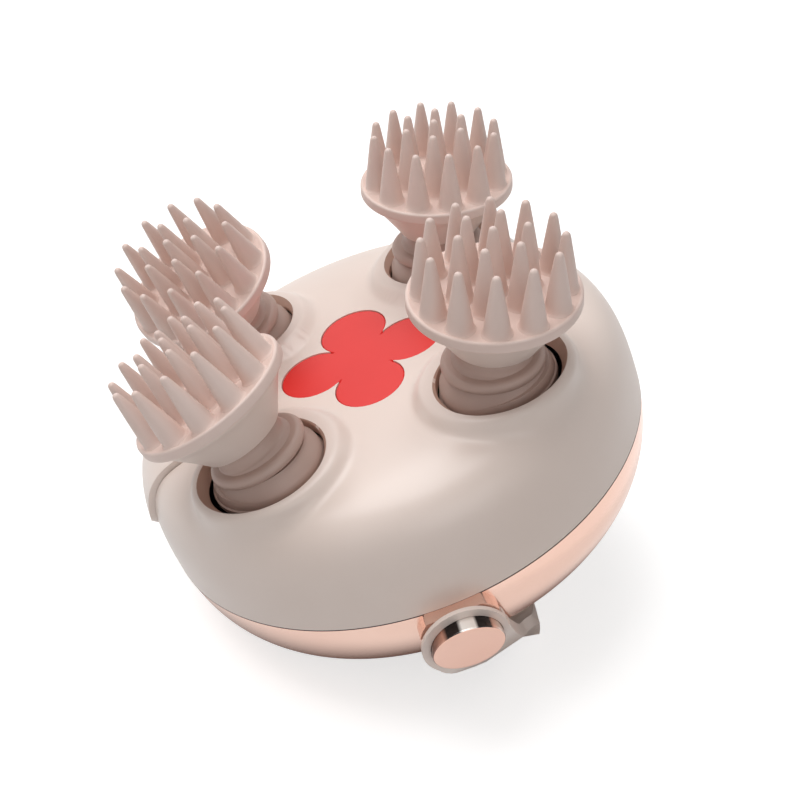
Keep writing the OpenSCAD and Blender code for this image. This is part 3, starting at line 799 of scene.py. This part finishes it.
cover_profile = ([(0, COVER_INSIDE), (base_r(-18) - 5, COVER_INSIDE),
                  (base_r(-BAND_H) - 2.6, -BAND_H), (base_r(-BAND_H) - EDGE, -BAND_H)]
                 + curve_down(-BAND_H - EDGE, -BASE_DEPTH, 0, 24) + [(0, -BASE_DEPTH)])
cover = piece("base_shell", *lathe(cover_profile, 192), "housing")
well = lathe([(0, -30), (WELL_R, -30), (WELL_R, -18), (0, -18)], 32)
wells = [moved(well, Matrix.Translation((WELL_OUT * math.cos(a), WELL_OUT * math.sin(a), 0)))
         for a in (0, math.pi / 2, math.pi, 1.5 * math.pi)]
carve(cover, solid("screw_wells", joined(wells)))
smoothed(cover, 30)
dress(cover, SHELL)
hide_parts("base_cover")
print("cover faces:", len(cover.data.polygons))

# %% [markdown]
# ## The massage heads
#
# A head is a disc of soft silicone with nineteen blunt cones: twelve round the edge, six
# inside them, one in the middle, each ring a little taller. Every cone is a turned
# profile with a small fillet at its foot, so it grows out of the disc as moulded
# silicone does. Below the disc comes the cup that carries it.

# %% One finger
FINGER_H = 12.3
FINGER_FOOT_R = 2.55
FINGER_TIP_R = 0.78
FILLET_H = 0.55


def finger(height):
    """One blunt cone: fillet, slightly hollow flank, round tip."""
    foot = [(FINGER_FOOT_R + 0.5, -0.25), (FINGER_FOOT_R + 0.42, 0.02),
            (FINGER_FOOT_R + 0.18, 0.2), (FINGER_FOOT_R, FILLET_H)]
    flank = [(FINGER_FOOT_R * (1 - 0.665 * t ** 1.08), FILLET_H + (height - 1.4) * t)
             for t in (0.12, 0.25, 0.4, 0.55, 0.7, 0.85, 0.96)]
    tip = arc(0, height - FINGER_TIP_R, FINGER_TIP_R, 14, 90, 6)
    tip[-1] = (0, height)
    return lathe(foot + flank + tip, 28)


print("points in a finger:", len(finger(FINGER_H)[0]))

# %% A disc with its fingers
PLATE_R = 16.75
PLATE_S = 17.6
PLATE_T = 2.1
FACE_S = PLATE_S + PLATE_T
RING12_R = 13.18
RING6_R = 6.65
RING6_TALLER = 1.27
MIDDLE_TALLER = 1.77


def head_part(key):
    """A head's disc and its nineteen fingers."""
    disc = ([(0, PLATE_S)] + [(PLATE_R - 0.6, PLATE_S)]
            + arc(PLATE_R - 0.45, PLATE_S + 0.45, 0.45, -90, 0, 4)
            + arc(PLATE_R - 0.55, FACE_S - 0.25, 0.5, 0, 100, 6)
            + [(PLATE_R - 0.95, FACE_S + 0.12), (PLATE_R - 1.15, FACE_S), (0, FACE_S)])
    parts = [lathe(disc, 128),
             moved(finger(FINGER_H + MIDDLE_TALLER), Matrix.Translation((0, 0, FACE_S)))]
    for count, first, radius, taller in ((6, RING6_TURN[key], RING6_R, RING6_TALLER),
                                         (12, RING12_TURN[key], RING12_R, 0)):
        for k in range(count):
            at = (turn(360 / count * k + first, "Z")
                  @ Matrix.Translation((radius, 0, FACE_S)))
            parts.append(moved(finger(FINGER_H + taller), at))
    return joined(parts)


print("faces in a head:", len(head_part("a")[1]))

# %% Heads, each with its cup under the disc
CUP_FOOT_R = 8.9
CUP_FOOT_S = 8.1
CUP_TOP_S = PLATE_S - 0.02
PIN_R = 3.25
cup_profile = ([(PIN_R, CUP_FOOT_S), (CUP_FOOT_R - 0.6, CUP_FOOT_S)]
               + arc(CUP_FOOT_R - 0.5, CUP_FOOT_S + 0.5, 0.5, -90, -35, 4)
               + [(CUP_FOOT_R + (PLATE_R - 2.1 - CUP_FOOT_R) * t, CUP_FOOT_S + 0.5 + 7.8 * t)
                  for t in (0.25, 0.5, 0.75, 0.94)]
               + [(PLATE_R - 1.7, PLATE_S - 1.0), (PLATE_R - 1.1, PLATE_S - 0.45),
                  (PLATE_R - 1.0, CUP_TOP_S), (0, CUP_TOP_S), (0, PLATE_S - 1.2),
                  (PIN_R, PLATE_S - 1.2)])
for key in PIVOT:
    head = piece(f"finger_head_{key}", *head_part(key), f"head_{key}", at_head(key),
                 flat_angle=50)
    dress(head, SILICONE)
    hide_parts(f"massage_head_{key}")
    cup = piece(f"cup_{key}", *lathe(cup_profile, 96), f"head_{key}", at_head(key),
                flat_angle=40)
    dress(cup, CUP_SKIN)
    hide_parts(f"head_cup_{key}")
print("cup faces:", len(cup.data.polygons))

# %% [markdown]
# ## The boots
#
# A boot of thicker silicone closes each socket round the moving neck: a skirt down in
# the socket, a slope, one fat round fold, and a slim neck under the cup. The skirt
# stands upright, the neck leans as far as the head does, and the slope and the fold lean
# less. Turned profiles give all four, each on its own axis.

# %% Profiles of the boots
BOOT_IN_R = 4.2
NECK_IN_R = 4.0
SKIRT_R = 11.7
SKIRT_FOOT_R = SKIRT_R + 0.35
FOLD_R = 10.4
FOLD_H = 2.6
FOLD_S = 3.6
FOLD_SHARE = 0.6
NECK_R = 7.6
skirt_profile = [(BOOT_IN_R, -2.6), (SKIRT_FOOT_R, -2.6), (SKIRT_FOOT_R, -1.6), (SKIRT_R, -1.4),
                 (SKIRT_R - 0.1, -0.5), (SKIRT_R - 0.5, 0.4), (BOOT_IN_R, 1.0),
                 (BOOT_IN_R, -2.6)]
slope_profile = [(BOOT_IN_R, -1.2), (SKIRT_R - 0.15, -1.2), (SKIRT_R - 0.45, 0.2),
                 (FOLD_R - 0.75, 1.9), (FOLD_R - 1.1, 2.6), (BOOT_IN_R, 2.6), (BOOT_IN_R, -1.2)]
fold_profile = ([(BOOT_IN_R, FOLD_S - FOLD_H / 2)]
                + arc(FOLD_R - FOLD_H / 2, FOLD_S, FOLD_H / 2, -90, 90, 16)
                + [(BOOT_IN_R, FOLD_S + FOLD_H / 2), (BOOT_IN_R, FOLD_S - FOLD_H / 2)])
neck_profile = ([(NECK_IN_R, 3.4), (NECK_R + 1.2, 3.4)]
                + arc(NECK_R + 1.4, 6.2, 1.4, 240, 180, 6)
                + [(NECK_R, 7.5), (NECK_R - 0.3, 7.8), (NECK_IN_R, 7.8), (NECK_IN_R, 3.4)])
BOOT_RINGS = ((skirt_profile, 0), (slope_profile, FOLD_SHARE / 2), (fold_profile, FOLD_SHARE),
              (neck_profile, 1))
print("shares of the head's lean:", [share for _, share in BOOT_RINGS])

# %% Boots
for key in PIVOT:
    to_rest = at_head(key).inverted()
    part = joined([moved(lathe(profile, 96), to_rest @ at_head(key, share))
                   for profile, share in BOOT_RINGS])
    boot = piece(f"boot_skin_{key}", *part, f"crank_{key}", at_head(key), flat_angle=45)
    dress(boot, BOOT_SKIN_AND_SHADE)
    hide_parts(f"boot_{key}")
print("boot faces:", len(boot.data.polygons))

# %% [markdown]
# ## The bail handle
#
# The bail is one strap bent like a bucket handle: a round eye at each end, arms that
# lean in under the body, and a bar for the fingers. Its construction solid is exact but
# sharp, so the same solid is welded, cleared of needless edges, and given a small rounded
# edge all over. Low on the arms it is drawn in a little, and its foot is set flat on the
# table. The arms are first cut into rings there, so that they bend only below the body
# and stay clear of it when the bail swings. Behind the upper half of each eye the strap
# is thinned to a ring.

# %% The bail's own space and its bend
BAIL_Z = -7.8
BAIL_LEAN = -18
EYE_LEAN = math.radians(7)
FLOOR_Z = cad_box[0][2]
IN_BODY = Matrix.Translation((0, 0, BAIL_Z)) @ turn(BAIL_LEAN, "Y")
BAIL_FRAME = UPRIGHT @ IN_BODY
TO_BAIL = BAIL_FRAME.inverted()
BEND_CUTS = (14, 18, 21, 24, 27)
BEND_FROM, BEND_SPAN = 16, 14
DRAWN_IN = 0.08
DRAWN_BACK = 1.5
FOOT_DEPTH = 31


def settled(point):
    """Draws the bail's lower part in a little and lets its foot stand flat."""
    local = TO_BAIL @ point
    share = min(max((-local.z - BEND_FROM) / BEND_SPAN, 0), 1)
    share *= share * (3 - 2 * share)
    flat = local.z < -FOOT_DEPTH
    local.y *= 1 - DRAWN_IN * share
    local.x += DRAWN_BACK * share
    world = BAIL_FRAME @ local
    if flat:
        world.z = FLOOR_Z
    return world


print("the bail's hinge, in metres:", tuple(round(v, 4) for v in BAIL_FRAME.translation))

# %% The ring of an eye
RELIEF_R = 12
RELIEF_HALF = 88
RELIEF_FROM, RELIEF_TO = 48, 57.2


def eye_relief(side):
    """What comes off behind an eye's upper half, so that only a thin ring shows."""
    outline = [(0, 0)] + arc(0, 0, RELIEF_R, 90 + RELIEF_HALF, 90 - RELIEF_HALF, 24)
    points, faces = prism(outline, RELIEF_FROM, RELIEF_TO)
    points = [(x, -side * (depth + (up * math.tan(EYE_LEAN) if depth == RELIEF_TO else 0)), up)
              for x, up, depth in points]
    return points, faces


relief = solid("eye_relief", joined([eye_relief(1), eye_relief(-1)]), IN_BODY)
print("relief faces:", len(relief.data.polygons))

# %% The bail
def bail_mesh():
    """The construction mesh, welded, cleared of needless edges, cut in rings and bent."""
    mesh = frame["nodes"]["bail_handle"].data.copy()
    tool = bmesh.new()
    tool.from_mesh(mesh)
    bmesh.ops.remove_doubles(tool, verts=tool.verts, dist=1e-6)
    bmesh.ops.dissolve_limit(tool, angle_limit=math.radians(1.0), verts=tool.verts,
                             edges=tool.edges)
    down = (BAIL_FRAME.to_3x3() @ Vector((0, 0, 1))).normalized()
    for depth in BEND_CUTS:
        bmesh.ops.bisect_plane(tool, geom=tool.verts[:] + tool.edges[:] + tool.faces[:],
                               dist=1e-6, plane_co=BAIL_FRAME @ Vector((0, 0, -depth)),
                               plane_no=down)
    for vert in tool.verts:
        vert.co = settled(vert.co)
    tool.to_mesh(mesh)
    tool.free()
    return mesh


bail = bpy.data.objects.new("bail_strap", bail_mesh())
bpy.context.collection.objects.link(bail)
carve(bail, relief)
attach(bail, "bail")
soften(bail, 30, harden=True)
smoothed(bail, 30)
dress(bail, SHELL)
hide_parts("bail_handle")
print("bail faces:", len(bail.data.polygons))

# %% [markdown]
# ## Studs and pads
#
# The bail turns on two studs. Their polished caps are round buttons with a slanted,
# gently crowned face, and they are built ring by ring, because a mirror finish shows
# every bend. Behind each eye a pad of the band's own rose gold fills the space up to the
# eye. It is a sector of a disc, a little narrower towards its ends.

# %% Rings of a stud
CAP_LEAN = math.radians(18)
CAP_REACH = 59.9
CAP_RIM = 0.45
CAP_STEPS = 96
JOURNAL_R = 7.28
STUD_SEAT = BODY_R - LOWER_WALL - 0.2
# Rows of faces on the side with the painted reflection, up to the middle of the rounded rim.
SIDE_ROWS = 5


def cap_part():
    """Rings of a stud, outward along y: seat, painted-reflection side, rim and slanted crown."""
    rings = [(JOURNAL_R - 0.1, STUD_SEAT, False), (JOURNAL_R, STUD_SEAT + 0.2, False)]
    rings += [(JOURNAL_R - CAP_RIM * (1 - math.cos(math.radians(15 * t))),
               CAP_RIM * math.sin(math.radians(15 * t)) - CAP_RIM, True) for t in range(7)]
    crown = JOURNAL_R - CAP_RIM
    rings += [(crown * (1 - t / 8), 0.0, True) for t in range(1, 8)] + [(0.05, 0.0, True)]
    points, rows = [], []
    for r, depth, slanted in rings:
        rows.append(list(range(len(points), len(points) + CAP_STEPS)))
        for k in range(CAP_STEPS):
            a = 2 * math.pi * k / CAP_STEPS
            x, z = r * math.cos(a), r * math.sin(a)
            slant = CAP_REACH + z * math.tan(CAP_LEAN)
            points.append((x, -(slant + depth if slanted else depth), z + BAIL_Z))
    faces = [rows[0][::-1]]
    for low, high in zip(rows, rows[1:]):
        faces += ring_faces(low, high)
    faces.append(rows[-1])
    return points, faces


print("rows of points in a stud:", len(cap_part()[0]) // CAP_STEPS)

# %% Studs
SIDES = ((1, "near"), (-1, "far"))


def on_side(part, side):
    """A part drawn for the near side, or its mirror image for the far side."""
    points, faces = part
    return [(x, y * side, z) for x, y, z in points], faces


for side, name in SIDES:
    stud = piece(f"stud_cap_{name}", *on_side(cap_part(), side), "housing", flat_angle=50)
    # The side gets the painted reflection bands; the crowned face gets the satin rose gold.
    dress(stud, CAP_SIDE_PAINTED_REFLECTION)
    stud.data.materials.append(CAP_FACE)
    for face in stud.data.polygons:
        face.material_index = int(face.index > CAP_STEPS * SIDE_ROWS)
    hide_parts(f"stud_{name}")
print("stud faces:", len(stud.data.polygons))

# %% Pads behind the eyes
PAD_R = 9.9
PAD_TAPER = 0.75
PAD_FOOT = BODY_R - 2.5
PAD_FACE = 56.7
PAD_HALF = 62.0
PAD_STEPS = 24


def pad_part():
    """A sector of a disc that carries the eye's upper half off the band."""
    outline = [(0, 2.0)]
    for k in range(-PAD_STEPS, PAD_STEPS + 1):
        a = math.radians(PAD_HALF * k / PAD_STEPS)
        reach = PAD_R - PAD_TAPER * (k / PAD_STEPS) ** 2
        outline.append((reach * math.sin(a), reach * math.cos(a)))
    outline = [(x, min(y, -BAIL_Z - 0.05)) for x, y in outline]
    points, faces = prism(outline, PAD_FOOT, PAD_FACE)
    return [(x, -(depth + (up * math.tan(EYE_LEAN) if depth == PAD_FACE else 0)), up + BAIL_Z)
            for x, up, depth in points], faces


for side, name in SIDES:
    pad = piece(f"eye_pad_{name}", *on_side(pad_part(), side), "housing", flat_angle=40)
    dress(pad, ROSE_GOLD)
print("pad faces:", len(pad.data.polygons))

# %% [markdown]
# ## Studio
#
# The photograph has a pure white ground with the softest of shadows, and broad light
# from above. A pale floor with a little glow of its own reaches white everywhere but
# under the object, and only the camera and reflections see that glow. The world does the
# same: it lights the object at a plain level, and looks white where it shows.

# %% Floor
FLOOR_TONE = 0.62
FLOOR_GLOW = 0.62


def background_rays(nodes, links):
    """One where a background shows, to the camera or mirrored or through glass, else zero."""
    path = nodes.new("ShaderNodeLightPath")
    seen = path.outputs["Is Camera Ray"]
    for ray in ("Is Glossy Ray", "Is Transmission Ray"):
        either = nodes.new("ShaderNodeMath")
        either.operation = "MAXIMUM"
        links.new(seen, either.inputs[0])
        links.new(path.outputs[ray], either.inputs[1])
        seen = either.outputs[0]
    return seen


def floor_material():
    """A matt floor whose glow is for the camera and for reflections only."""
    mat = bpy.data.materials.new("studio_floor")
    mat.use_nodes = True
    nodes, links = mat.node_tree.nodes, mat.node_tree.links
    shader = nodes["Principled BSDF"]
    shader.inputs["Base Color"].default_value = (FLOOR_TONE, FLOOR_TONE, FLOOR_TONE, 1)
    shader.inputs["Roughness"].default_value = 0.9
    shader.inputs["Emission Color"].default_value = (1, 1, 1, 1)
    glow = nodes.new("ShaderNodeMath")
    glow.operation = "MULTIPLY"
    glow.inputs[1].default_value = FLOOR_GLOW
    links.new(background_rays(nodes, links), glow.inputs[0])
    links.new(glow.outputs[0], shader.inputs["Emission Strength"])
    return mat


bpy.ops.mesh.primitive_plane_add(size=6, location=(0, 0, FLOOR_Z))
floor = bpy.context.object
floor.name = "studio_floor"
floor.data.materials.append(floor_material())
print("floor at", round(FLOOR_Z, 4))

# %% [markdown]
# ## A card for the reflections
#
# On the real table the polished band mirrors a darker ground close under the object. A
# white floor can't give that, so a card lies just above it, dark in the middle and
# fading to white. Like a photographer's card it is there for the reflections alone.

# %% Shade card
CARD_DARK = (0.10, 0.06, 0.05, 1)
CARD_FADE_FROM, CARD_FADE_TO = 0.042, 0.064
CARD_R = 0.09
CARD_LIFT = 0.0003


def card_material():
    """Dark in the middle, fading to white, and without any gloss of its own."""
    mat = bpy.data.materials.new("shade_card")
    mat.use_nodes = True
    nodes, links = mat.node_tree.nodes, mat.node_tree.links
    shader = nodes["Principled BSDF"]
    shader.inputs["Base Color"].default_value = (0, 0, 0, 1)
    shader.inputs["Specular IOR Level"].default_value = 0
    shader.inputs["Emission Strength"].default_value = 1.0
    coords = nodes.new("ShaderNodeTexCoord")
    length = nodes.new("ShaderNodeVectorMath")
    length.operation = "LENGTH"
    fade = nodes.new("ShaderNodeMapRange")
    fade.interpolation_type = "SMOOTHSTEP"
    fade.inputs["From Min"].default_value = CARD_FADE_FROM
    fade.inputs["From Max"].default_value = CARD_FADE_TO
    blend = nodes.new("ShaderNodeMix")
    blend.data_type = "RGBA"
    blend.inputs[MIX_FIRST].default_value = CARD_DARK
    blend.inputs[MIX_SECOND].default_value = (1, 1, 1, 1)
    links.new(coords.outputs["Object"], length.inputs[0])
    links.new(length.outputs["Value"], fade.inputs["Value"])
    links.new(fade.outputs["Result"], blend.inputs[MIX_SHARE])
    links.new(blend.outputs[MIX_RESULT], shader.inputs["Emission Color"])
    return mat


bpy.ops.mesh.primitive_circle_add(vertices=96, radius=CARD_R, fill_type="NGON",
                                  location=(-0.004, 0, FLOOR_Z + CARD_LIFT))
card = bpy.context.object
card.name = "shade_card"
card.data.materials.append(card_material())
for ray in ("camera", "diffuse", "transmission", "shadow", "volume_scatter"):
    setattr(card, "visible_" + ray, False)
print("card radius:", CARD_R)

# %% World
AMBIENT = 0.33
BACKGROUND = 1.0

world = bpy.data.worlds.new("studio_world")
bpy.context.scene.world = world
world.use_nodes = True
nodes, links = world.node_tree.nodes, world.node_tree.links
sky = nodes["Background"]
sky.inputs["Color"].default_value = (1, 1, 1, 1)
level = nodes.new("ShaderNodeMapRange")
level.inputs["To Min"].default_value = AMBIENT
level.inputs["To Max"].default_value = BACKGROUND
links.new(background_rays(nodes, links), level.inputs["Value"])
links.new(level.outputs["Result"], sky.inputs["Strength"])
print("ambient level:", AMBIENT)

# %% [markdown]
# ## Lights and camera
#
# One large soft light hangs overhead and a weaker one fills from the front. The camera's
# place and lens come from matching the photograph's perspective: a long lens, a little
# over thirty degrees above the table.

# %% Lights
SCENE_MIDDLE = (0, 0, 0.02)


def aimed(obj, place, aim):
    """Puts a light or a camera at a place and points it at another."""
    obj.location = place
    obj.rotation_euler = (Vector(aim) - Vector(place)).to_track_quat("-Z", "Y").to_euler()
    bpy.context.collection.objects.link(obj)
    return obj


def softbox(name, place, size, watts):
    """A soft rectangular light that is aimed at the object."""
    data = bpy.data.lights.new(name, "AREA")
    data.shape = "RECTANGLE"
    data.size, data.size_y = size
    data.energy = watts
    return aimed(bpy.data.objects.new(name, data), place, SCENE_MIDDLE)


softbox("key_overhead", (-0.20, 0.18, 0.75), (0.7, 0.6), 4.9)
softbox("front_fill", (0.10, -0.75, 0.45), (0.5, 0.4), 1.0)

# %% Camera
CAMERA_AT = (-0.0512, -0.2305, 0.1872)
CAMERA_AIM = (-0.0056, 0.0048, 0.0281)

camera_data = bpy.data.cameras.new("camera")
camera_data.lens = 57.6
camera_data.sensor_width = 36
camera = aimed(bpy.data.objects.new("camera", camera_data), CAMERA_AT, CAMERA_AIM)
bpy.context.scene.camera = camera
print("camera at", tuple(round(v, 3) for v in camera.location))

# %% [markdown]
# ## The view
#
# Colours are shown with the Standard view transform. The dressed model must stay as
# large as the construction.

# %% View
bpy.context.scene.view_settings.view_transform = "Standard"
